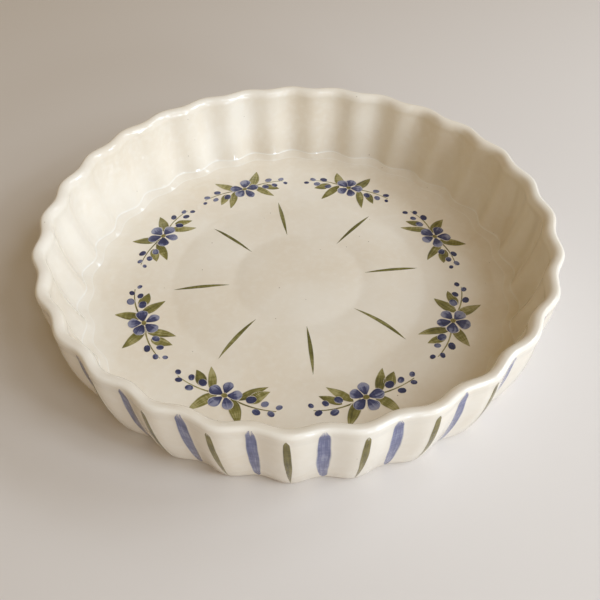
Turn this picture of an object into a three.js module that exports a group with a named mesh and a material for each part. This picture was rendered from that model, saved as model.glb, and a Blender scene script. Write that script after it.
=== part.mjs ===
// Round ceramic tart dish: fluted flaring wall, rounded lip, a floor with two pressed rings, and a painted
// stroke in every valley and on every crest of the flutes.
// Millimetres, +Z up. The origin is the centre of the foot, on the surface that the dish stands on.

import * as THREE from 'three';
import { mergeVertices } from 'three/addons/utils/BufferGeometryUtils.js';

// Overall sizes
const rimRadius = 140; // widest of the lip, over the crests
const height = 52;
const baseRadius = 131.5; // outside of the wall, over the crests, run down to the table
const wallThickness = 4.7; // over the crests
const wallBelly = 0.5; // outward swell at half height
const wallSteps = 4;

// Flutes: a crest lies at the front (-Y)
const fluteCount = 28;
const fluteDepthAtBase = 2.9; // crest to valley, outside
const fluteDepthAtRim = 2.6;
const fluteDepthAtCove = 4.6; // inside, where the wall runs out on the floor
const facetsPerFlute = 6;

// Rounded lip
const lipRadius = 2.2; // of its round section
const lipOverhang = 0.7; // beyond the outside of the wall
const shoulderHeight = 3; // hollow under the lip, outside
const lipLedge = 3; // from the middle of the roll down to the faint ledge, inside

// Floor and the cove round it
const floorHeight = 5; // above the table
const coveHeight = 3.5;
const coveWidth = 5.5;
const coveToe = 1; // height of the cove's lower line above the floor
const floorBlend = 7; // from the cove's lower line to the level floor
const ringRadius = 74.5; // outer of the two pressed rings
const discRadius = 38; // inner ring
const creaseDepth = 0.45; // of each ring
const creaseReach = 10; // from the bottom of a ring out to the level floor

// Foot
const edgeRound = 2.5; // bottom edge of the wall
const footWidth = 12; // flat bare ring that the dish stands on
const footRecess = 1.2;
const recessRun = 1.5;

// Painted strokes
const paintThickness = 0.4;
const paintGap = 0.3;
const strokeFoot = 0.8; // from the rounded bottom edge up to a stroke's end
const strokeHead = 0.8; // from the hollow under the lip down to a stroke's start
const blueWidth = 6.4;
const oliveWidth = 3.2;
const strokeRows = 5;
const strokeColumns = 2;
const widestAt = 0.68; // of the stroke's length, from its bottom end
const headShare = 0.62; // of its full width, at the top end
const blueFootShare = 0.4;
const oliveFootShare = 0.2;

const curveSteps = 3;

// Heights and radii that follow from the sizes above
const lipHeight = height - lipRadius;
const shoulderTop = lipHeight - lipRadius;
const shoulderFoot = shoulderTop - shoulderHeight;
const wallFlare = (rimRadius - lipOverhang - baseRadius) / shoulderTop;
const swell = (z) => 4 * wallBelly * (z / shoulderTop) * (1 - z / shoulderTop);
const outerRadius = (z) => baseRadius + wallFlare * z + swell(z);
const innerRadius = (z) => outerRadius(z) - wallThickness;
const coveTop = floorHeight + coveHeight;
const coveRadius = innerRadius(coveTop);
const toeRadius = coveRadius - coveWidth;
const floorRadius = toeRadius - floorBlend;
const footOuter = outerRadius(edgeRound) - edgeRound;
const footInner = footOuter - footWidth;

const creamGlaze = new THREE.MeshStandardMaterial({ color: 0xe9dfc9, roughness: 0.12, metalness: 0 });
const bluePaint = new THREE.MeshStandardMaterial({ color: 0x7279a3, roughness: 0.2, metalness: 0 });
const olivePaint = new THREE.MeshStandardMaterial({ color: 0x7d7547, roughness: 0.2, metalness: 0 });

// Section of the dish over a crest, from the middle of its underside round to the middle of its floor
function dishSection() {
  const lipMiddle = rimRadius - lipRadius;
  const ledgeHeight = lipHeight - lipLedge;
  const section = new THREE.Path();
  section.moveTo(0, footRecess);
  section.lineTo(footInner - recessRun, footRecess);
  section.lineTo(footInner, 0);
  section.lineTo(footOuter, 0);
  section.quadraticCurveTo(outerRadius(0), 0, outerRadius(edgeRound), edgeRound);
  for (let step = 1; step <= wallSteps; step += 1) {
    const z = THREE.MathUtils.lerp(edgeRound, shoulderFoot, step / wallSteps);
    section.lineTo(outerRadius(z), z);
  }
  section.bezierCurveTo(
    outerRadius(shoulderTop), shoulderTop,
    rimRadius, shoulderTop,
    rimRadius, lipHeight,
  );
  section.absarc(lipMiddle, lipHeight, lipRadius, 0, Math.PI, false);
  section.lineTo(innerRadius(ledgeHeight), ledgeHeight);
  section.lineTo(coveRadius, coveTop);
  section.lineTo(toeRadius, floorHeight + coveToe);
  section.quadraticCurveTo(toeRadius - floorBlend / 2, floorHeight, floorRadius, floorHeight);
  for (const radius of [ringRadius, discRadius]) {
    section.lineTo(radius + creaseReach, floorHeight);
    section.lineTo(radius, floorHeight - creaseDepth);
    section.lineTo(radius - creaseReach, floorHeight);
  }
  section.lineTo(0, floorHeight);
  return section.getPoints(curveSteps);
}

// Depth of the flutes outside and inside the wall
const outsideDepth = (z) => THREE.MathUtils.lerp(fluteDepthAtBase, fluteDepthAtRim, z / height);
const insideDepth = (z) => THREE.MathUtils.mapLinear(
  Math.max(z, coveTop), coveTop, height, fluteDepthAtCove, fluteDepthAtRim,
);

// How far the wall lies inside its crests, at a turn counted in flutes
const fluteInset = (flutes, depth) => (depth * (1 - Math.cos(2 * Math.PI * flutes))) / 2;

// The same on the flat facet between two facet lines
function facetInset(flutes, depth) {
  const facet = Math.floor(flutes * facetsPerFlute);
  const share = flutes * facetsPerFlute - facet;
  const before = fluteInset(facet / facetsPerFlute, depth);
  const after = fluteInset((facet + 1) / facetsPerFlute, depth);
  return THREE.MathUtils.lerp(before, after, share);
}

// A revolved section whose wall is then pushed in to its flutes. They die out in the cove and on the foot.
function dishBody() {
  const geometry = new THREE.LatheGeometry(dishSection(), fluteCount * facetsPerFlute);
  geometry.rotateX(Math.PI / 2);
  geometry.deleteAttribute('normal');
  geometry.deleteAttribute('uv');
  const spot = geometry.getAttribute('position');
  const fadeStart = Math.min(floorRadius, footInner);
  for (let i = 0; i < spot.count; i += 1) {
    const [x, y, z] = [spot.getX(i), spot.getY(i), spot.getZ(i)];
    const radius = Math.hypot(x, y);
    const flutes = (Math.atan2(x, -y) / (2 * Math.PI)) * fluteCount;
    const fluted = THREE.MathUtils.smoothstep(radius, fadeStart, coveRadius);
    const depth = radius < outerRadius(z) - wallThickness / 2 ? insideDepth(z) : outsideDepth(z);
    const share = radius > 0 ? 1 - (fluted * fluteInset(flutes, depth)) / radius : 1;
    spot.setXY(i, x * share, y * share);
  }
  const welded = mergeVertices(geometry);
  welded.computeVertexNormals();
  return welded;
}

// A point that lies off the outside of the wall by a given lift
function wallPoint(flutes, z, lift) {
  const radius = outerRadius(z) - facetInset(flutes, outsideDepth(z)) + lift;
  const angle = (2 * Math.PI * flutes) / fluteCount;
  return [radius * Math.sin(angle), -radius * Math.cos(angle), z];
}

// Width of a brush stroke along its length, as a share of its full width: 0 is its foot, 1 its head
function strokeShape(along, footShare) {
  if (along < widestAt) {
    return THREE.MathUtils.lerp(footShare, 1, Math.sin((along / widestAt) * (Math.PI / 2)));
  }
  const past = (along - widestAt) / (1 - widestAt);
  return THREE.MathUtils.lerp(1, headShare, past * past);
}

// A thin curved plate that follows the wall, from the bottom edge up to the hollow under the lip
function brushStroke(middle, fullWidth, footShare) {
  const bottom = edgeRound + strokeFoot;
  const top = shoulderFoot - strokeHead;
  const across = strokeColumns + 1;
  const layer = across * (strokeRows + 1);
  const points = [];
  for (const lift of [paintGap, paintGap + paintThickness]) {
    for (let row = 0; row <= strokeRows; row += 1) {
      const along = row / strokeRows;
      const z = THREE.MathUtils.lerp(bottom, top, along);
      const pitch = (2 * Math.PI * outerRadius(z)) / fluteCount;
      const width = (fullWidth * strokeShape(along, footShare)) / pitch;
      for (let column = 0; column < across; column += 1) {
        points.push(...wallPoint(middle + width * (column / strokeColumns - 0.5), z, lift));
      }
    }
  }
  const faces = [];
  const quad = (a, b, c, d) => faces.push(a, b, c, a, c, d);
  for (let row = 0; row < strokeRows; row += 1) {
    for (let column = 0; column < strokeColumns; column += 1) {
      const at = row * across + column;
      quad(at, at + across, at + across + 1, at + 1);
      quad(at + layer, at + layer + 1, at + layer + across + 1, at + layer + across);
    }
    const left = row * across;
    const right = left + strokeColumns;
    quad(left, left + layer, left + layer + across, left + across);
    quad(right, right + across, right + layer + across, right + layer);
  }
  for (let column = 0; column < strokeColumns; column += 1) {
    const low = column;
    const high = strokeRows * across + column;
    quad(low, low + 1, low + layer + 1, low + layer);
    quad(high, high + layer, high + layer + 1, high + 1);
  }
  const geometry = new THREE.BufferGeometry();
  geometry.setAttribute('position', new THREE.Float32BufferAttribute(points, 3));
  geometry.setIndex(faces);
  geometry.computeVertexNormals();
  return geometry;
}

function named(name, geometry, material) {
  const mesh = new THREE.Mesh(geometry, material);
  mesh.name = name;
  return mesh;
}

const dish = new THREE.Group();
dish.add(named('dish_body', dishBody(), creamGlaze));
for (let flute = 0; flute < fluteCount; flute += 1) {
  const number = String(flute + 1).padStart(2, '0');
  dish.add(named(`olive_stripe_${number}`, brushStroke(flute, oliveWidth, oliveFootShare), olivePaint));
  dish.add(named(`blue_stripe_${number}`, brushStroke(flute + 0.5, blueWidth, blueFootShare), bluePaint));
}

export default dish;
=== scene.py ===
"""Looks of a round fluted ceramic tart dish: cream glaze, painted stripes outside and a painted floor.

Everything is in metres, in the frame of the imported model: +Z up, the origin under the middle of the foot,
and a flute's crest at the front (-Y). Angles go round from the front to the right.
"""

import math
from typing import NamedTuple

import bpy
import numpy as np
from mathutils import Matrix, Vector


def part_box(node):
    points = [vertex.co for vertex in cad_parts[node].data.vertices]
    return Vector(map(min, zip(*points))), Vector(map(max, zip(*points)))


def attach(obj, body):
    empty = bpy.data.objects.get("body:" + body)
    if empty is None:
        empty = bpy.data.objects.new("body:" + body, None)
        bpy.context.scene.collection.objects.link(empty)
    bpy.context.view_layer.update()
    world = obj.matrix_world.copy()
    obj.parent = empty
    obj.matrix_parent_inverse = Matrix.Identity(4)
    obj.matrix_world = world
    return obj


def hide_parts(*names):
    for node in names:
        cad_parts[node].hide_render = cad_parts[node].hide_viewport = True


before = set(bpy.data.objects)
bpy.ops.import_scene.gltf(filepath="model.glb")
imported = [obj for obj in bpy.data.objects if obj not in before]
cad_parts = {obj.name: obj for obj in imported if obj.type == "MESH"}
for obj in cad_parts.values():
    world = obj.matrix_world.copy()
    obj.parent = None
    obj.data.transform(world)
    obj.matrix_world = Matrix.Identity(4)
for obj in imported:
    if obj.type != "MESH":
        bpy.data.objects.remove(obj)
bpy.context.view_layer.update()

MM = 0.001

# Dish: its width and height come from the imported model, the other sizes are judged from the photograph
low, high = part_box("dish_body")
RIM_RADIUS = (high.x - low.x) / 2
HEIGHT = high.z
BASE_RADIUS = 131.5 * MM  # outside of the wall, over the crests, run down to the table
BELLY = 2.3 * MM  # outward swell of the wall at half height
WALL = 6 * MM
WALL_FOOT = 2.4 * MM  # added to the wall's thickness towards the foot

# Flutes
FLUTES = 28
FLUTE_SWAY = math.radians(1.5)  # shift of the crests from even steps
FLUTE_SPREAD = math.radians(0.6)  # by which the crests beside the front stand farther from it
FLUTE_DEPTH_BASE = 2.9 * MM  # crest to valley, outside
FLUTE_DEPTH_RIM = 2.6 * MM
FLUTE_DEPTH_SWELL = 0.7 * MM  # added outside at half height
FLUTE_DEPTH_COVE = 4.6 * MM  # inside, where the wall runs out on the floor

# Lip, and the hollow under it
LIP_RADIUS = 2.2 * MM  # from its middle up to its top
LIP_OVERHANG = 0.4 * MM
LIP_CHIN = 1.5 * MM  # from the middle of the lip down to its lower edge, outside
LIP_CHIN_ROUND = 2 * MM
LIP_OUTER_ROUND = 2 * MM
LIP_INNER_ROUND = 4.5 * MM
LIP_TOP_WIDTH = 7 * MM
LIP_DROP = 7 * MM  # from the top down to the ledge inside
LEDGE_ROUND = 8 * MM
SHOULDER_HEIGHT = 3 * MM
SHOULDER_ROUND = 6 * MM

# Floor, the cove round it and the two rings pressed into it
FLOOR_HEIGHT = 5 * MM
FLOOR_BLEND = 7 * MM
FLOOR_ROUND = 14 * MM
COVE_HEIGHT = 3.5 * MM
COVE_WIDTH = 5.5 * MM
COVE_ROUND = 0.8 * MM
COVE_TOE = 1 * MM
TOE_ROUND = 1.5 * MM
RING_RADIUS = 74.5 * MM
RING_MARGIN = 20 * MM  # of level floor outside the larger ring
DISC_RADIUS = 38 * MM
CREASE_DEPTH = 1.4 * MM
CREASE_SPREAD = 8 * MM
CREASE_ROUND = 3 * MM

# Foot
EDGE_ROUND = 2.5 * MM
BOTTOM_ROUND = 2 * MM
FOOT_WIDTH = 12 * MM
FOOT_ROUND = 0.6 * MM
FOOT_RECESS = 1.2 * MM
RECESS_RUN = 1.5 * MM
RECESS_ROUND = 1.5 * MM

LIP_HEIGHT = HEIGHT - LIP_RADIUS
SHOULDER_TOP = LIP_HEIGHT - LIP_RADIUS
SHOULDER_FOOT = SHOULDER_TOP - SHOULDER_HEIGHT
FLARE = (RIM_RADIUS - LIP_OVERHANG - BASE_RADIUS) / SHOULDER_TOP

# Mesh fineness
SEGMENTS = FLUTES * 32
ARC_STEP = math.radians(12)
WALL_STEP = 2.5 * MM
WALL_ROWS = 12
UNDERSIDE_STEP = 8 * MM
MIDDLE_STEPS = [0, 6, 14]  # mm from the middle of the floor
CREASE_STEPS = [0, 0.4, 0.8, 1.3, 2, 3, 4.5, 6.5, 9, 12, 15, 18]  # mm from the bottom of a ring


def outer_radius(z):
    share = z / SHOULDER_TOP
    return BASE_RADIUS + FLARE * z + 4 * BELLY * share * (1 - share)


def inner_radius(z):
    return outer_radius(z) - WALL - WALL_FOOT * (1 - z / SHOULDER_TOP) ** 3


COVE_TOP = FLOOR_HEIGHT + COVE_HEIGHT
COVE_RADIUS = inner_radius(COVE_TOP)
TOE_RADIUS = COVE_RADIUS - COVE_WIDTH
FLOOR_RADIUS = TOE_RADIUS - FLOOR_BLEND
FOOT_OUTER = outer_radius(EDGE_ROUND) - EDGE_ROUND
FOOT_INNER = FOOT_OUTER - FOOT_WIDTH
FADE_START = min(FLOOR_RADIUS, FOOT_INNER)  # the flutes grow from here out to the wall

# Heights between which the wall has no rounds
LEDGE = HEIGHT - LIP_DROP
OUTSIDE_SPAN = (EDGE_ROUND * 3, SHOULDER_FOOT * 0.9)
INSIDE_SPAN = (LEDGE * 0.93, COVE_TOP * 1.2)


def smoothstep(low_end, high_end, value):
    t = np.clip((value - low_end) / (high_end - low_end), 0, 1)
    return t * t * (3 - 2 * t)


# Section of the dish over a crest


def section_corners():
    """(radius, height, rounding) of the section's corners, from the underside round to the level floor."""
    outside = [(outer_radius(z), z, 0) for z in np.linspace(*OUTSIDE_SPAN, WALL_ROWS)]
    inside = [(inner_radius(z), z, 0) for z in np.linspace(*INSIDE_SPAN, WALL_ROWS)]
    return [
        (0, FOOT_RECESS, 0),
        (FOOT_INNER - RECESS_RUN, FOOT_RECESS, RECESS_ROUND),
        (FOOT_INNER, 0, FOOT_ROUND),
        (outer_radius(0), 0, BOTTOM_ROUND),
        *outside,
        (outer_radius(SHOULDER_FOOT), SHOULDER_FOOT, SHOULDER_ROUND),
        (RIM_RADIUS, LIP_HEIGHT - LIP_CHIN, LIP_CHIN_ROUND),
        (RIM_RADIUS, HEIGHT, LIP_OUTER_ROUND),
        (RIM_RADIUS - LIP_TOP_WIDTH, HEIGHT, LIP_INNER_ROUND),
        (inner_radius(LEDGE), LEDGE, LEDGE_ROUND),
        *inside,
        (COVE_RADIUS, COVE_TOP, COVE_ROUND),
        (TOE_RADIUS, FLOOR_HEIGHT + COVE_TOE, TOE_ROUND),
        (FLOOR_RADIUS, FLOOR_HEIGHT, FLOOR_ROUND),
        (RING_RADIUS + RING_MARGIN, FLOOR_HEIGHT, 0),
    ]


def rounded(before, here, after, radius):
    """Points of the round that takes the place of a corner."""
    if not radius:
        return [here]
    to_before = (before - here) / np.linalg.norm(before - here)
    to_after = (after - here) / np.linalg.norm(after - here)
    turn = math.pi - math.acos(to_before @ to_after)
    reach = radius * math.tan(turn / 2)
    middle = (to_before + to_after) / np.linalg.norm(to_before + to_after)
    centre = here + middle * radius / math.cos(turn / 2)
    start = here + to_before * reach - centre
    end = here + to_after * reach - centre
    shares = np.linspace(0, 1, max(2, math.ceil(turn / ARC_STEP)) + 1)
    weights = [(math.sin((1 - s) * turn), math.sin(s * turn)) for s in shares]
    return [centre + (a * start + b * end) / math.sin(turn) for a, b in weights]


def crease(radius):
    """How far the floor dips at the two rings pressed into it."""
    dip = 0 * radius
    for ring in (RING_RADIUS, DISC_RADIUS):
        away = np.sqrt((radius - ring) ** 2 + CREASE_ROUND ** 2) - CREASE_ROUND
        dip = dip + CREASE_DEPTH * np.exp(-away / CREASE_SPREAD)
    return dip


def dish_outline():
    """(radius, height) all the way round the section, corners rounded and long stretches divided."""
    corners = section_corners()
    places = [np.array(c[:2], float) for c in corners]
    points = [places[0]]
    for i in range(1, len(corners) - 1):
        points += rounded(places[i - 1], places[i], places[i + 1], corners[i][2])
    floor = {radius * MM for radius in MIDDLE_STEPS}
    for ring in (RING_RADIUS, DISC_RADIUS):
        floor |= {ring + side * step * MM for step in CREASE_STEPS for side in (-1, 1)}
    points += [np.array([r, FLOOR_HEIGHT - crease(r)]) for r in sorted(floor, reverse=True)]
    outline = [points[0]]
    for point in points[1:]:
        start = outline[-1]
        underside = start[1] <= FOOT_RECESS and start[0] < FOOT_INNER
        step = UNDERSIDE_STEP if underside else WALL_STEP
        pieces = max(1, round(np.linalg.norm(point - start) / step))
        outline += [start + (point - start) * i / pieces for i in range(1, pieces + 1)]
    return np.array(outline)


# Flutes, a little uneven as hand-pressed ones are


def flute_sway(angle):
    """How far the crests near an angle have shifted from even steps."""
    spread = FLUTE_SPREAD * np.sin(2 * angle) * (1 + np.cos(angle)) / 2
    sway = np.cos(angle) + 0.2 * np.sin(3 * angle + 0.7) + 0.12 * np.sin(5 * angle + 2.1)
    return FLUTE_SWAY * sway - spread


def flute_wave(angle):
    """0 on a crest and 1 in a valley."""
    return (1 - np.cos(FLUTES * (angle + flute_sway(angle)))) / 2


def flute_angle(flute):
    """Angle of a crest, or of a valley for a half number."""
    even = 2 * math.pi * flute / FLUTES
    return even - flute_sway(even)


def flute_inset(radius, z, angle):
    """How far a place on the wall lies inside the crests beside it."""
    up = np.clip(z / HEIGHT, 0, 1)
    outside = FLUTE_DEPTH_BASE + (FLUTE_DEPTH_RIM - FLUTE_DEPTH_BASE) * up
    outside = outside + 4 * FLUTE_DEPTH_SWELL * up * (1 - up)
    rise = np.clip((z - COVE_TOP) / (HEIGHT - COVE_TOP), 0, 1)
    inside = FLUTE_DEPTH_COVE + (FLUTE_DEPTH_RIM - FLUTE_DEPTH_COVE) * rise
    depth = np.where(radius > outer_radius(z) - WALL / 2, outside, inside)
    return smoothstep(FADE_START, COVE_RADIUS, radius) * depth * flute_wave(angle)


def pressed(radius, z, angle):
    """Place of a point of the section at an angle round the dish, with the flutes pressed in."""
    r = radius - flute_inset(radius, z, angle)
    return np.stack([r * np.sin(angle), -r * np.cos(angle), z + 0 * angle], -1)


# Meshes

POOL_HIGHLIGHT_REACH = 2 * MM  # a hollow of this radius holds all the glaze that pools and gets the full painted highlight
SHORTEST_STEP = 0.3 * MM  # shorter steps of the section count as this long
SHARP_EDGE = math.radians(50)  # edges of strokes that are sharper aren't shaded smooth


def new_object(name, vertices, faces):
    mesh = bpy.data.meshes.new(name)
    mesh.from_pydata(vertices, [], faces)
    mesh.polygons.foreach_set("use_smooth", [True] * len(mesh.polygons))
    piece = bpy.data.objects.new(name, mesh)
    bpy.context.scene.collection.objects.link(piece)
    return piece


def add_values(piece, name, values):
    """Numbers kept at each vertex for the material to read: one or three a vertex."""
    values = np.asarray(values, np.float32)
    kind, key = ("FLOAT", "value") if values.ndim == 1 else ("FLOAT_VECTOR", "vector")
    piece.data.attributes.new(name, kind, "POINT").data.foreach_set(key, values.ravel())


def glaze_pool_and_highlight(rings):
    """How the glaze gathers along the section, which also sets where highlights are painted: above 0 in
    hollows, below 0 on edges.
    """
    step = np.diff(rings, axis=0)
    turn = np.unwrap(np.arctan2(step[:, 1], step[:, 0]))
    bend = np.pad(np.diff(turn), 1)
    length = np.pad(np.linalg.norm(step, axis=1), (0, 1), mode="edge")
    return np.clip(-bend / np.maximum(length, SHORTEST_STEP) * POOL_HIGHLIGHT_REACH, -1, 1)


def make_dish(outline):
    rings = outline[1:-1]
    angle = np.linspace(0, 2 * math.pi, SEGMENTS, endpoint=False)
    grid = pressed(rings[:, :1], rings[:, 1:], angle[None, :])
    ends = [[0, 0, outline[0, 1]], [0, 0, outline[-1, 1]]]
    index = np.arange(len(rings) * SEGMENTS).reshape(len(rings), SEGMENTS)
    beside = np.roll(index, -1, axis=1)
    faces = np.stack([index[:-1], beside[:-1], beside[1:], index[1:]], -1).reshape(-1, 4).tolist()
    under, floor = index.size, index.size + 1
    faces += [[under, b, a] for a, b in zip(index[0].tolist(), beside[0].tolist())]
    faces += [[floor, a, b] for a, b in zip(index[-1].tolist(), beside[-1].tolist())]
    dish = new_object("glazed_dish", grid.reshape(-1, 3).tolist() + ends, faces)
    # Bend of the section: the glaze is painted paler in hollows and on edges, partly as pooled glaze,
    # partly as painted highlight lines
    add_values(dish, "pool_and_highlight", np.append(np.repeat(glaze_pool_and_highlight(rings), SEGMENTS), [0, 0]))
    return dish


class Strokes:
    """Brush strokes in one mesh, each a thin closed plate with its place and size for the material."""

    def __init__(self):
        self.vertices, self.faces, self.places, self.sizes = [], [], [], []
        self.count = 0

    def add(self, top, bottom, across, along, width, length):
        rows, columns = across.shape
        layer = rows * columns
        grid = np.arange(layer).reshape(rows, columns) + self.count
        near, far = grid[:-1, :-1], grid[1:, 1:]
        left, right = grid[1:, :-1], grid[:-1, 1:]
        self.faces += np.stack([near, right, far, left], -1).reshape(-1, 4).tolist()
        self.faces += (np.stack([near, left, far, right], -1).reshape(-1, 4) + layer).tolist()
        edge = np.concatenate([grid[0], grid[1:, -1], grid[-1, -2::-1], grid[-2:0:-1, 0]])
        following = np.roll(edge, -1)
        self.faces += np.stack([following, edge, edge + layer, following + layer], -1).tolist()
        self.vertices += top.reshape(-1, 3).tolist() + bottom.reshape(-1, 3).tolist()
        seed = 0 * across + random.uniform(0, 1)
        place = np.stack([across, along, seed], -1).reshape(-1, 3)
        size = np.stack([across * width / 2, along * length, seed], -1).reshape(-1, 3)
        self.places += [place, place]
        self.sizes += [size, size]
        self.count += 2 * layer

    def finish(self, name):
        piece = new_object(name, self.vertices, self.faces)
        piece.data.set_sharp_from_angle(angle=SHARP_EDGE)
        add_values(piece, "stroke", np.concatenate(self.places))
        add_values(piece, "stroke_size", np.concatenate(self.sizes))
        return piece


PAINT_LIFT = 0.06 * MM  # above the glaze
PAINT_ROOT = 0.15 * MM  # below it
LAYER_LIFT = 0.03 * MM  # between strokes that cross
random = np.random.default_rng(7)


def wobble(share, amount):
    """A slow uneven drift along a stroke, as a hand makes."""
    a, b, c, d = random.uniform(0, 2 * math.pi, 4)
    drift = np.sin(2.3 * share + a) + 0.6 * np.sin(5.1 * share + b) + 0.3 * np.sin(11 * share + c)
    return amount * (drift + 0.2 * np.sin(23 * share + d)) / 2


# Painted stripes on the wall

STRIPE_ROWS = 56
STRIPE_COLUMNS = 10
STRIPE_FOOT = 1.2 * MM  # above the table
STRIPE_LEAN = math.radians(-0.5)
STRIPE_SWING = math.radians(0.4)  # from one stripe to the next
LEAN_PIVOT = 0.3  # share of the length
FOOT_SPREAD = (-0.5, 0.8)  # mm, from one stripe to the next
TOP_SPREAD = (-1.2, 0.3)  # mm
SIZE_SPREAD = (0.9, 1.08)
EDGE_WOBBLE = 0.07
MIDDLE_WOBBLE = 0.2
EDGE_SLACK = 0.1 * MM  # so that the rounded bottom edge counts as wall

BLUE_TOP = HEIGHT - 0.7 * MM
BLUE_WIDTH = 6.6 * MM
BLUE_WIDEST = 0.62  # share of the length, from the foot
BLUE_FOOT = 0.46  # share of the width
BLUE_HEAD_LOSS = 0.3
OLIVE_TOP = HEIGHT - 3.3 * MM
OLIVE_WIDTH = 3.7 * MM
OLIVE_WIDEST = 0.72
OLIVE_FOOT = 0.08
OLIVE_HEAD_LOSS = 0.35
OLIVE_SPREAD = math.radians(2.2)  # lean away from the front, most at the sides


def blue_shape(share):
    """Share of its full width that a stripe has along its length, from 0 at the foot to 1 at the head."""
    rise = BLUE_FOOT + (1 - BLUE_FOOT) * np.sin(np.clip(share / BLUE_WIDEST, 0, 1) * math.pi / 2)
    fall = 1 - BLUE_HEAD_LOSS * np.clip((share - BLUE_WIDEST) / (1 - BLUE_WIDEST), 0, 1) ** 2
    ends = np.clip(share / 0.06, 0.02, 1) ** 0.5 * np.clip((1 - share) / 0.06, 0.15, 1) ** 0.4
    return rise * fall * ends


def olive_shape(share):
    """The same for the olive stripes, which run out to a point at the foot."""
    rise = np.sin(np.clip(share / OLIVE_WIDEST, 0, 1) * math.pi / 2) ** 1.15
    rise = OLIVE_FOOT + (1 - OLIVE_FOOT) * rise
    fall = 1 - OLIVE_HEAD_LOSS * np.clip((share - OLIVE_WIDEST) / (1 - OLIVE_WIDEST), 0, 1) ** 2
    ends = np.clip((1 - share) / 0.05, 0.05, 1) ** 0.5
    return rise * fall * ends


def wall_stripe(strokes, outside, middle, top, width, shape, spread):
    """A stripe up the outside of the wall, from above the bottom edge to a height at or under the lip."""
    reach = np.append(0, np.cumsum(np.linalg.norm(np.diff(outside, axis=0), axis=1)))
    start = np.interp(STRIPE_FOOT + random.uniform(*FOOT_SPREAD) * MM, outside[:, 1], reach)
    stop = np.interp(top + random.uniform(*TOP_SPREAD) * MM, outside[:, 1], reach)
    share = np.linspace(0, 1, STRIPE_ROWS + 1)[:, None]
    across = np.linspace(-1, 1, STRIPE_COLUMNS + 1)[None, :] + 0 * share
    along = start + (stop - start) * share
    radius = np.interp(along, reach, outside[:, 0])
    z = np.interp(along, reach, outside[:, 1])
    half = width * random.uniform(*SIZE_SPREAD) / 2 * shape(share)
    left, right = wobble(share, EDGE_WOBBLE), wobble(share, EDGE_WOBBLE)
    half = half * (1 + np.where(across < 0, left, right))
    lean = random.normal(STRIPE_LEAN, STRIPE_SWING) + spread * math.sin(middle)
    lean = lean * (share - LEAN_PIVOT) + wobble(share, MIDDLE_WOBBLE) * half / radius
    points = pressed(radius, z, middle + lean + across * half / radius)
    normal = np.cross(np.gradient(points, axis=1), np.gradient(points, axis=0))
    normal /= np.linalg.norm(normal, axis=-1, keepdims=True)
    top_layer = points + normal * PAINT_LIFT
    bottom_layer = points - normal * PAINT_ROOT
    strokes.add(top_layer, bottom_layer, across, share + 0 * across, width, stop - start)


def make_stripes(outline):
    wall = outline[: np.argmax(outline[:, 1]) + 1]
    outside = wall[wall[:, 0] > FOOT_OUTER - EDGE_SLACK]
    blue, olive = Strokes(), Strokes()
    for flute in range(FLUTES):
        crest, valley = flute_angle(flute), flute_angle(flute + 0.5)
        wall_stripe(olive, outside, crest, OLIVE_TOP, OLIVE_WIDTH, olive_shape, OLIVE_SPREAD)
        wall_stripe(blue, outside, valley, BLUE_TOP, BLUE_WIDTH, blue_shape, 0)
    return blue.finish("blue_stripes"), olive.finish("olive_stripes")


# Painted floor: slender rays round the middle, and sprays of blossom along a ring outside them

OUTWARD = math.pi / 2
BEND_PIVOT = 0.3  # share of a stroke's length
HEADING_WOBBLE = 0.03
FLOOR_EDGE_WOBBLE = 0.09
THINNEST = 0.06 * MM  # half width at a stroke's thin end

RAYS = 8
RAY_TURN = math.radians(7)
RAY_START = 39 * MM
RAY_LENGTH = 34.5 * MM
RAY_WIDTH = 4.2 * MM
RAY_UNEVEN = 1 * MM  # in place and length
RAY_TURN_UNEVEN = 0.03
RAY_BEND_UNEVEN = 0.12

SPRAYS = 8
SPRAY_RADIUS = 93 * MM
SPRAY_UNEVEN = 0.012
STEM_START = 3 * MM  # from the middle of the blossom
STEM_LENGTH = 25 * MM
STEM_WIDTH = 1.1 * MM
STEM_HEADING = 0.16  # radians, outward from the ring
STEM_BOW = 0.35
STEM_BOW_UNEVEN = 0.05

LEAVES = [(4, 1.02, 17), (7, -0.92, 18), (13, -0.62, 13)]  # mm along the stem, heading, mm long
LEAF_LAYER = 1
LEAF_WIDTH = 6.2 * MM
LEAF_WIDTH_SPREAD = (0.85, 1.1)
LEAF_RISE = 0.3 * MM
LEAF_TURN_UNEVEN = 0.1
LEAF_BEND = 0.35
LEAF_BEND_UNEVEN = 0.12

BUDS = 5  # on each side of a blossom
BUD_LAYER = 2
FIRST_BUD = 12 * MM  # along the stem
BUD_STEP = 3.9 * MM
BUD_UNEVEN = 0.3 * MM
BUD_OFF = 2.4 * MM  # to the stem's two sides in turn
BUD_BOW = 0.35 / (30 * MM)  # how fast the buds follow the stem's bow
BUD_WIDTH = 4.6 * MM
BUD_SHRINK = 0.42 * MM  # from bud to bud
BUD_SPREAD = (0.9, 1.1)
BUD_LENGTH = 1.15  # of its width
BUD_TURN = 0.5
BUD_TURN_UNEVEN = 0.2

PETALS = 5
PETAL_LAYER = 3
PETAL_LAYER_STEP = 0.4
PETAL_START = 1.1 * MM
PETAL_LENGTH = 8.5 * MM
PETAL_WIDTH = 7 * MM
PETAL_TURN_UNEVEN = 0.06
PETAL_BEND_UNEVEN = 0.1
CENTRE_LAYER = 6
CENTRE_LENGTH = 3.4 * MM
CENTRE_WIDTH = 3.2 * MM


def pointed(share):
    return np.sin(math.pi * share ** 0.9) ** 0.9


def leaf_shape(share):
    return np.sin(math.pi * share ** 0.75) ** 0.9


def petal_shape(share):
    return np.sin(math.pi * (0.06 + 0.94 * share) ** 1.7) ** 0.62


def bud_shape(share):
    return np.sqrt(np.clip(1 - (2 * share - 1) ** 2, 0, 1))


def stem_shape(share):
    return 1 - 0.55 * share


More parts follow.
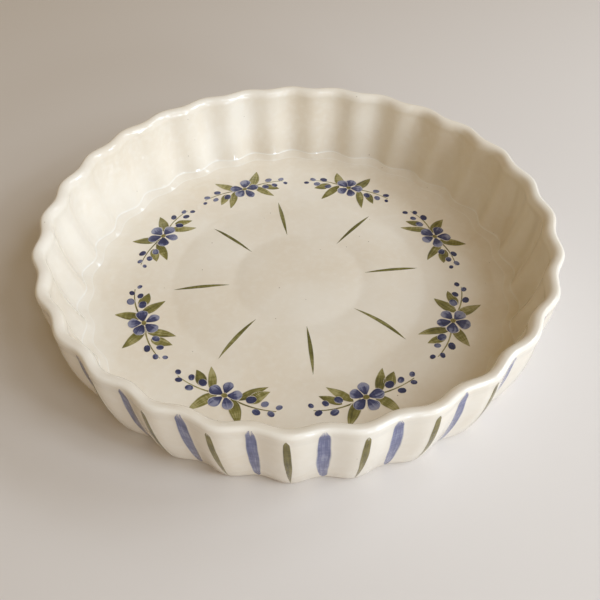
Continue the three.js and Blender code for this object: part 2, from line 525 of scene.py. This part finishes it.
def floor_stroke(strokes, angle, start, heading, length, width, bend, shape, layer, rows=16, columns=6):
    """A stroke on the floor near an angle round it. It starts at (along the ring, outward) from there."""
    share = np.linspace(0, 1, rows + 1)[:, None]
    across = np.linspace(-1, 1, columns + 1)[None, :] + 0 * share
    turn = heading + bend * (share - BEND_PIVOT) + wobble(share, HEADING_WOBBLE)
    step = length / rows
    path_t = start[0] + np.append(0, np.cumsum(np.cos(turn[:-1]) * step))[:, None]
    path_q = start[1] + np.append(0, np.cumsum(np.sin(turn[:-1]) * step))[:, None]
    half = np.maximum(width / 2 * shape(share), THINNEST)
    left, right = wobble(share, FLOOR_EDGE_WOBBLE), wobble(share, FLOOR_EDGE_WOBBLE)
    half = half * (1 + np.where(across < 0, left, right))
    radius = SPRAY_RADIUS + path_q - np.cos(turn) * across * half
    turned = angle + (path_t + np.sin(turn) * across * half) / SPRAY_RADIUS
    level = FLOOR_HEIGHT - crease(radius)
    flat = [radius * np.sin(turned), -radius * np.cos(turned)]
    top = np.stack([*flat, level + PAINT_LIFT + layer * LAYER_LIFT], -1)
    bottom = np.stack([*flat, level - PAINT_ROOT], -1)
    strokes.add(top, bottom, across, share + 0 * across, width, length)


def make_rays():
    rays = Strokes()
    for i in range(RAYS):
        angle = RAY_TURN + 2 * math.pi * i / RAYS + random.normal(0, RAY_TURN_UNEVEN)
        start = (0, RAY_START + random.normal(0, RAY_UNEVEN) - SPRAY_RADIUS)
        length = RAY_LENGTH + random.normal(0, RAY_UNEVEN)
        heading = OUTWARD + random.normal(0, RAY_TURN_UNEVEN)
        bend = random.normal(0, RAY_BEND_UNEVEN)
        floor_stroke(rays, angle, start, heading, length, RAY_WIDTH, bend, pointed, 0, rows=24)
    return rays.finish("floor_rays")


def mirrored(side, heading):
    """A heading given for the right side of a spray, turned over for its left side."""
    return heading if side > 0 else math.pi - heading


def add_stem_side(stems, leaves, buds, angle, side):
    """One half of a spray: a bowed stem with leaves under the blossom and buds that shrink to its tip."""
    bow = random.normal(STEM_BOW, STEM_BOW_UNEVEN)
    heading = mirrored(side, STEM_HEADING)
    floor_stroke(stems, angle, (side * STEM_START, 0), heading, STEM_LENGTH, STEM_WIDTH, -side * bow,
                 stem_shape, 0, rows=24, columns=4)
    for place, turn, length in LEAVES:
        heading = mirrored(side, turn + random.normal(0, LEAF_TURN_UNEVEN))
        length = length * MM * random.uniform(*SIZE_SPREAD)
        width = LEAF_WIDTH * random.uniform(*LEAF_WIDTH_SPREAD)
        bend = side * random.normal(LEAF_BEND, LEAF_BEND_UNEVEN)
        start = (side * place * MM, LEAF_RISE)
        floor_stroke(leaves, angle, start, heading, length, width, bend, leaf_shape, LEAF_LAYER)
    for i in range(BUDS):
        over = 1 if i % 2 else -1
        along = FIRST_BUD + BUD_STEP * i + random.normal(0, BUD_UNEVEN)
        stem_off = (STEM_HEADING - bow * BUD_BOW * along) * along
        off = BUD_OFF * over * (1 - i / (BUDS + 1)) + stem_off
        width = (BUD_WIDTH - BUD_SHRINK * i) * random.uniform(*BUD_SPREAD)
        heading = mirrored(side, BUD_TURN * over + random.normal(0, BUD_TURN_UNEVEN))
        floor_stroke(buds, angle, (side * along, off), heading, width * BUD_LENGTH, width, 0,
                     bud_shape, BUD_LAYER, rows=12)


def make_sprays():
    stems, leaves, petals, buds, centres = (Strokes() for _ in range(5))
    for i in range(SPRAYS):
        angle = 2 * math.pi * (i + 0.5) / SPRAYS + random.normal(0, SPRAY_UNEVEN)
        for side in (-1, 1):
            add_stem_side(stems, leaves, buds, angle, side)
        first = random.uniform(0, 2 * math.pi)
        for petal in range(PETALS):
            heading = first + 2 * math.pi * petal / PETALS + random.normal(0, PETAL_TURN_UNEVEN)
            start = (PETAL_START * math.cos(heading), PETAL_START * math.sin(heading))
            length = PETAL_LENGTH * random.uniform(*SIZE_SPREAD)
            width = PETAL_WIDTH * random.uniform(*SIZE_SPREAD)
            bend = random.normal(0, PETAL_BEND_UNEVEN)
            layer = PETAL_LAYER + petal * PETAL_LAYER_STEP
            floor_stroke(petals, angle, start, heading, length, width, bend, petal_shape, layer, columns=8)
        floor_stroke(centres, angle, (-CENTRE_LENGTH / 2, 0), 0, CENTRE_LENGTH, CENTRE_WIDTH, 0,
                     bud_shape, CENTRE_LAYER, rows=12)
    return {
        "spray_stems": stems.finish("spray_stems"),
        "spray_leaves": leaves.finish("spray_leaves"),
        "spray_petals": petals.finish("spray_petals"),
        "spray_buds": buds.finish("spray_buds"),
        "spray_centres": centres.finish("spray_centres"),
    }


# Materials

CREAM = (0.83, 0.765, 0.655)
CREAM_DEEP = (0.78, 0.69, 0.555)
CREAM_PALE = (0.86, 0.805, 0.71)
# Pooled glaze in hollows, made paler still as a painted highlight along the cove lines
CREAM_POOLED_HIGHLIGHT = (0.885, 0.838, 0.755)
SPECK = (0.22, 0.14, 0.07)
CLAY = (0.62, 0.50, 0.37)
CLAY_DARK = (0.47, 0.36, 0.25)
GLAZE_ROUGHNESS = 0.06
GLAZE_IOR = 1.5
GLAZE_RIPPLE = 0.13 * MM
FINE_RIPPLE_SHARE = 0.06  # of the fine ripples
CLAY_ROUGHNESS = 0.85
CLAY_GRAIN = 0.15 * MM

# Scales of the noise in the materials, per metre
CLOUDS = 18
MOTTLE = 240
SPECKS = 85
RIPPLES = 70
FINE_RIPPLES = 420
CLAY_CLOUDS = 60
GRAIN = 900
STREAKS = (1500, 70, 40)  # across a stroke, along it and from stroke to stroke
BANDS = (90, 700, 40)
WASHES = (220, 130, 90)

# Levels between which a noise, or the pooled glaze with its painted highlight, changes the colour, and the
# most that it changes it
CLOUD_SPAN = (0.3, 0.7)
MOTTLE_SPAN = (0.4, 0.8)
MOTTLE_SHARE = 0.35
SPECK_SPAN = (0.02, 0.035)
SPECK_SHARE = 0.75
POOL_HIGHLIGHT_SPAN = (0.2, 0.9)
POOL_HIGHLIGHT_SHARE = 0.8
EDGE_HIGHLIGHT_SHARE = 0.35  # painted highlight on the dish's edges, which keeps the lip bright
GRAIN_SPAN = (0.5, 0.75)
GRAIN_SHARE = 0.3

# How much paint the brush leaves: shares of the three noises, and levels of paint for each colour
STREAK_SHARE = 0.4
BAND_SHARE = 0.2
WASH_SHARE = 0.4
THIN_LOAD = 0.38
FULL_LOAD = 0.51
DEEP_LOAD = 0.64
COVER_SPAN = (0.25, 0.5)
RAGGED = 0.3  # of the strokes' edges
DRY_STOP = 1.04  # share of the length where no paint is left


class Paint(NamedTuple):
    """Underglaze paint as a brush leaves it. Its three colours go from the least paint to the most."""

    thin: tuple
    full: tuple
    deep: tuple
    cover: float  # least cover
    edge: float  # share of the width where the paint starts to thin out
    dry_end: float  # share of the length where the brush runs dry
    ramp: float  # how far the paint gathers towards the stroke's end
    vary: float  # how much one stroke differs from the next


BLUE_STRIPE = Paint((0.23, 0.24, 0.36), (0.13, 0.14, 0.26), (0.08, 0.087, 0.18),
                    cover=0.9, edge=0.72, dry_end=0.95, ramp=0.0, vary=0.06)
OLIVE_STRIPE = Paint((0.25, 0.205, 0.06), (0.17, 0.138, 0.03), (0.095, 0.075, 0.014),
                     cover=0.94, edge=0.78, dry_end=0.97, ramp=0.05, vary=0.06)
RAY = Paint((0.24, 0.215, 0.065), (0.13, 0.118, 0.026), (0.075, 0.066, 0.013),
            cover=0.92, edge=0.85, dry_end=1.0, ramp=0.0, vary=0.08)
LEAF = Paint((0.34, 0.3, 0.11), (0.18, 0.158, 0.036), (0.09, 0.079, 0.016),
             cover=0.88, edge=0.84, dry_end=1.0, ramp=-0.1, vary=0.12)
PETAL = Paint((0.16, 0.175, 0.29), (0.042, 0.047, 0.12), (0.022, 0.025, 0.072),
              cover=0.8, edge=0.84, dry_end=1.0, ramp=-0.3, vary=0.16)
BUD = Paint((0.12, 0.135, 0.24), (0.036, 0.041, 0.11), (0.022, 0.025, 0.072),
            cover=0.85, edge=0.82, dry_end=1.0, ramp=0.1, vary=0.2)


class Nodes:
    """Short ways to build a material's nodes."""

    def __init__(self, name):
        self.material = bpy.data.materials.new(name)
        self.material.use_nodes = True
        self.tree = self.material.node_tree
        self.shader = self.tree.nodes["Principled BSDF"]

    def put(self, socket, value):
        if isinstance(value, bpy.types.NodeSocket):
            self.tree.links.new(value, socket)
        elif isinstance(value, tuple) and len(value) == 3 and socket.type == "RGBA":
            socket.default_value = (*value, 1)
        else:
            socket.default_value = value

    def node(self, kind, inputs, **settings):
        made = self.tree.nodes.new(kind)
        for key, value in settings.items():
            setattr(made, key, value)
        for key, value in inputs.items():
            self.put(made.inputs[key], value)
        return made

    def math(self, operation, a, b=0.0):
        return self.node("ShaderNodeMath", {0: a, 1: b}, operation=operation).outputs[0]

    def span(self, value, start, end, to_start=0.0, to_end=1.0):
        """A smooth step of a value from one span to another."""
        inputs = {"Value": value, "From Min": start, "From Max": end, "To Min": to_start, "To Max": to_end}
        return self.node("ShaderNodeMapRange", inputs, interpolation_type="SMOOTHSTEP").outputs[0]

    def noise(self, place, scale, detail=2.0):
        inputs = {"Vector": place, "Scale": scale, "Detail": detail}
        return self.node("ShaderNodeTexNoise", inputs).outputs[0]

    def stretched(self, place, scale):
        return self.node("ShaderNodeVectorMath", {0: place, 1: scale}, operation="MULTIPLY").outputs[0]

    def mix(self, share, a, b):
        made = self.tree.nodes.new("ShaderNodeMix")
        made.data_type = "RGBA"
        colours = [socket for socket in made.inputs if socket.type == "RGBA"]
        self.put(made.inputs[0], share)
        self.put(colours[0], a)
        self.put(colours[1], b)
        return next(socket for socket in made.outputs if socket.type == "RGBA")

    def place(self):
        return self.node("ShaderNodeTexCoord", {}).outputs["Object"]

    def kept(self, name):
        """The numbers kept at the vertices under a name."""
        return self.node("ShaderNodeAttribute", {}, attribute_name=name)

    def bump(self, height, depth):
        return self.node("ShaderNodeBump", {"Height": height, "Distance": depth}).outputs[0]


def glaze_colour(n):
    """Cream glaze: cloudy, with a few iron specks."""
    place = n.place()
    cloud = n.noise(place, CLOUDS, 4)
    fine = n.noise(place, MOTTLE, 2)
    tone = n.mix(n.span(cloud, *CLOUD_SPAN), CREAM_DEEP, CREAM)
    tone = n.mix(n.math("MULTIPLY", n.span(fine, *MOTTLE_SPAN), MOTTLE_SHARE), tone, CREAM_PALE)
    cells = n.node("ShaderNodeTexVoronoi", {"Vector": place, "Scale": SPECKS}).outputs["Distance"]
    return n.mix(n.span(cells, *SPECK_SPAN, SPECK_SHARE, 0.0), tone, SPECK)


def glaze_surface(n):
    """Glossy skin that ripples a little, so that highlights waver."""
    place = n.place()
    fine = n.math("MULTIPLY", n.noise(place, FINE_RIPPLES, 1), FINE_RIPPLE_SHARE)
    ripple = n.math("ADD", n.noise(place, RIPPLES, 2), fine)
    n.put(n.shader.inputs["Normal"], n.bump(ripple, GLAZE_RIPPLE))
    n.shader.inputs["Roughness"].default_value = GLAZE_ROUGHNESS
    n.shader.inputs["IOR"].default_value = GLAZE_IOR


def glaze_material():
    """The glaze is palest in hollows, where it pools and where a painted highlight line lies, and paler on
    edges as a painted highlight.
    """
    n = Nodes("cream_glaze")
    pool_and_highlight = n.kept("pool_and_highlight").outputs["Fac"]
    # Painted highlight: hollows such as the cove turn paler, partly as pooled glaze
    tone = n.mix(n.span(pool_and_highlight, *POOL_HIGHLIGHT_SPAN, 0.0, POOL_HIGHLIGHT_SHARE), glaze_colour(n), CREAM_POOLED_HIGHLIGHT)
    # Painted highlight: edges such as the lip turn paler
    tone = n.mix(n.span(pool_and_highlight, -1.0, 0.0, EDGE_HIGHLIGHT_SHARE, 0.0), tone, CREAM_PALE)
    n.put(n.shader.inputs["Base Color"], tone)
    glaze_surface(n)
    return n.material


def clay_material():
    """Bare fired clay of the ring that the dish stands on."""
    n = Nodes("bare_clay")
    place = n.place()
    grain = n.noise(place, GRAIN, 3)
    tone = n.mix(n.span(n.noise(place, CLAY_CLOUDS, 3), *CLOUD_SPAN), CLAY_DARK, CLAY)
    tone = n.mix(n.span(grain, *GRAIN_SPAN, 0.0, GRAIN_SHARE), tone, CLAY_DARK)
    n.put(n.shader.inputs["Base Color"], tone)
    n.put(n.shader.inputs["Normal"], n.bump(grain, CLAY_GRAIN))
    n.shader.inputs["Roughness"].default_value = CLAY_ROUGHNESS
    return n.material


def paint_material(name, paint):
    """Paint under the glaze: streaks along the stroke, a soft edge, and cream where the brush ran dry."""
    n = Nodes(name)
    stroke = n.node("ShaderNodeSeparateXYZ", {0: n.kept("stroke").outputs["Vector"]}).outputs
    across, along = n.math("ABSOLUTE", stroke[0]), stroke[1]
    size = n.kept("stroke_size").outputs["Vector"]
    streak = n.noise(n.stretched(size, STREAKS), 1, 3)
    band = n.noise(n.stretched(size, BANDS), 1, 2)
    wash = n.noise(n.stretched(size, WASHES), 1, 2)
    load = n.math("ADD", n.math("MULTIPLY", streak, STREAK_SHARE), n.math("MULTIPLY", band, BAND_SHARE))
    load = n.math("ADD", load, n.math("MULTIPLY", wash, WASH_SHARE))
    load = n.math("ADD", load, n.math("MULTIPLY", n.math("SUBTRACT", along, 0.5), paint.ramp))
    load = n.math("ADD", load, n.math("MULTIPLY", n.math("SUBTRACT", stroke[2], 0.5), paint.vary))
    tone = n.mix(n.span(load, THIN_LOAD, FULL_LOAD), paint.thin, paint.full)
    tone = n.mix(n.span(load, FULL_LOAD, DEEP_LOAD), tone, paint.deep)
    rough = n.math("MULTIPLY", n.math("SUBTRACT", streak, 0.5), RAGGED)
    body = n.span(n.math("ADD", across, rough), paint.edge, 1.0, 1.0, 0.0)
    dry = n.span(n.math("ADD", along, rough), paint.dry_end, DRY_STOP, 1.0, 0.0)
    cover = n.span(load, *COVER_SPAN, paint.cover, 1.0)
    body = n.math("MULTIPLY", n.math("MULTIPLY", body, dry), cover)
    n.put(n.shader.inputs["Base Color"], n.mix(body, glaze_colour(n), tone))
    glaze_surface(n)
    return n.material


def table_material():
    n = Nodes("floor")
    n.put(n.shader.inputs["Base Color"], TABLE)
    n.shader.inputs["Roughness"].default_value = TABLE_ROUGHNESS
    n.shader.inputs["Specular IOR Level"].default_value = TABLE_GLOSS
    return n.material


# Camera, floor and light

IMAGE_SIDE = 600  # pixels
FOCAL_PIXELS = 674.4
SENSOR = 36  # mm
CAMERA_PLACE = Vector((0.47, -285.46, 284.41)) * MM
CAMERA_PITCH = math.radians(46.339)
CAMERA_YAW = math.radians(0.086)
CAMERA_ROLL = math.radians(-0.272)
NEAREST_SEEN = 0.01
TABLE = (0.715, 0.665, 0.615)
TABLE_ROUGHNESS = 0.7
TABLE_GLOSS = 0.15
TABLE_SIDE = 4.0
ROOM_LIGHT = (1.0, 0.69, 0.28)
ROOM_LEVEL = 0.3
ROOM_SEEN = (0.5, 0.44, 0.36)  # behind the dish and in the glaze's reflections
DAYLIGHT = (0.73, 0.845, 1.0)
# Degrees from the front, degrees up, watts
WINDOWS = [(60, 33, 5.1), (60, 52, 3.0), (90, 37, 4.1), (115, 45, 2.0), (30, 65, 2.0)]
LOW_WINDOWS = [(28, 12, 13.6), (45, 12, 14.4)]
# Distance from the dish, side of a pane, and from pane to pane
WINDOW_SIZES = (1.3, 0.15, 0.17)
LOW_WINDOW_SIZES = (2.6, 0.2, 0.24)


def make_camera():
    data = bpy.data.cameras.new("camera")
    data.sensor_width = SENSOR
    data.lens = SENSOR * FOCAL_PIXELS / IMAGE_SIDE
    data.clip_start = NEAREST_SEEN
    camera = bpy.data.objects.new("camera", data)
    turn = Matrix.Rotation(-CAMERA_YAW, 4, "Z") @ Matrix.Rotation(math.pi / 2 - CAMERA_PITCH, 4, "X")
    roll = Matrix.Rotation(CAMERA_ROLL, 4, "Z")
    camera.matrix_world = Matrix.Translation(CAMERA_PLACE) @ turn @ roll
    bpy.context.scene.collection.objects.link(camera)
    bpy.context.scene.camera = camera


def make_floor():
    half = TABLE_SIDE / 2
    corners = [(-half, -half, 0), (half, -half, 0), (half, half, 0), (-half, half, 0)]
    floor = new_object("floor", corners, [(0, 1, 2, 3)])
    floor.data.materials.append(table_material())


def aimed(azimuth, rise, distance):
    """Where a lamp stands, and its turn towards the dish."""
    a, e = math.radians(azimuth), math.radians(rise)
    towards = Vector((math.sin(a) * math.cos(e), -math.cos(a) * math.cos(e), math.sin(e)))
    return Matrix.Translation(towards * distance) @ towards.to_track_quat("Z", "Y").to_matrix().to_4x4()


def make_pane(matrix, side, power):
    data = bpy.data.lights.new("window_pane", "AREA")
    data.shape = "RECTANGLE"
    data.size, data.size_y = side, side
    data.energy = power
    data.color = DAYLIGHT
    lamp = bpy.data.objects.new("window_pane", data)
    lamp.matrix_world = matrix
    bpy.context.scene.collection.objects.link(lamp)


def make_window(azimuth, rise, power, distance, side, pitch):
    """A window of four panes, turned towards the dish."""
    middle = aimed(azimuth, rise, distance)
    for across in (-0.5, 0.5):
        for above in (-0.5, 0.5):
            pane = middle @ Matrix.Translation((across * pitch, above * pitch, 0))
            make_pane(pane, side, power / 4)


def make_windows():
    for window in WINDOWS:
        make_window(*window, *WINDOW_SIZES)
    for window in LOW_WINDOWS:
        make_window(*window, *LOW_WINDOW_SIZES)


def make_room_light():
    """Warm light from all round. The camera and the glaze's reflections see a paler room."""
    world = bpy.data.worlds.new("world")
    bpy.context.scene.world = world
    world.use_nodes = True
    tree = world.node_tree
    background = tree.nodes["Background"]
    ray = tree.nodes.new("ShaderNodeLightPath")
    seen = tree.nodes.new("ShaderNodeMath")
    seen.operation = "MAXIMUM"
    room = tree.nodes.new("ShaderNodeMixRGB")
    room.inputs["Color1"].default_value = (*(ROOM_LEVEL * level for level in ROOM_LIGHT), 1)
    room.inputs["Color2"].default_value = (*ROOM_SEEN, 1)
    tree.links.new(ray.outputs["Is Camera Ray"], seen.inputs[0])
    tree.links.new(ray.outputs["Is Glossy Ray"], seen.inputs[1])
    tree.links.new(seen.outputs[0], room.inputs["Fac"])
    tree.links.new(room.outputs[0], background.inputs["Color"])


# Assembly

CLAY_TOP = 0.3 * MM
FACING_DOWN = -0.9  # upward part of the normal


def nodes_named(start):
    return [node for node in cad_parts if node.startswith(start)]


def add_piece(piece, material, slot, *nodes):
    piece.data.materials.append(material)
    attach(piece, "root")
    if nodes:
        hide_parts(*nodes)


def bare_foot(dish):
    """Give the flat ring under the dish its bare clay."""
    dish.data.materials.append(clay_material())
    for face in dish.data.polygons:
        x, y, z = face.center
        if z < CLAY_TOP and face.normal.z < FACING_DOWN and math.hypot(x, y) > FOOT_INNER:
            face.material_index = 1


outline = dish_outline()
dish = make_dish(outline)
add_piece(dish, glaze_material(), "cream_glaze", "dish_body")
bare_foot(dish)

blue, olive = make_stripes(outline)
blue_stripe = paint_material("blue_stripe", BLUE_STRIPE)
olive_stripe = paint_material("olive_stripe", OLIVE_STRIPE)
add_piece(blue, blue_stripe, "blue_paint", *nodes_named("blue_stripe"))
add_piece(olive, olive_stripe, "olive_paint", *nodes_named("olive_stripe"))

add_piece(make_rays(), paint_material("ray_paint", RAY), "olive_paint")

sprays = make_sprays()
leaf_paint = paint_material("leaf_paint", LEAF)
petal_paint = paint_material("petal_paint", PETAL)
bud_paint = paint_material("bud_paint", BUD)
add_piece(sprays["spray_stems"], leaf_paint, "olive_paint")
add_piece(sprays["spray_leaves"], leaf_paint, "olive_paint")
add_piece(sprays["spray_petals"], petal_paint, "blue_paint")
add_piece(sprays["spray_buds"], bud_paint, "blue_paint")
add_piece(sprays["spray_centres"], olive_stripe, "olive_paint")

make_camera()
make_floor()
make_windows()
make_room_light()
bpy.context.scene.view_settings.view_transform = "Standard"
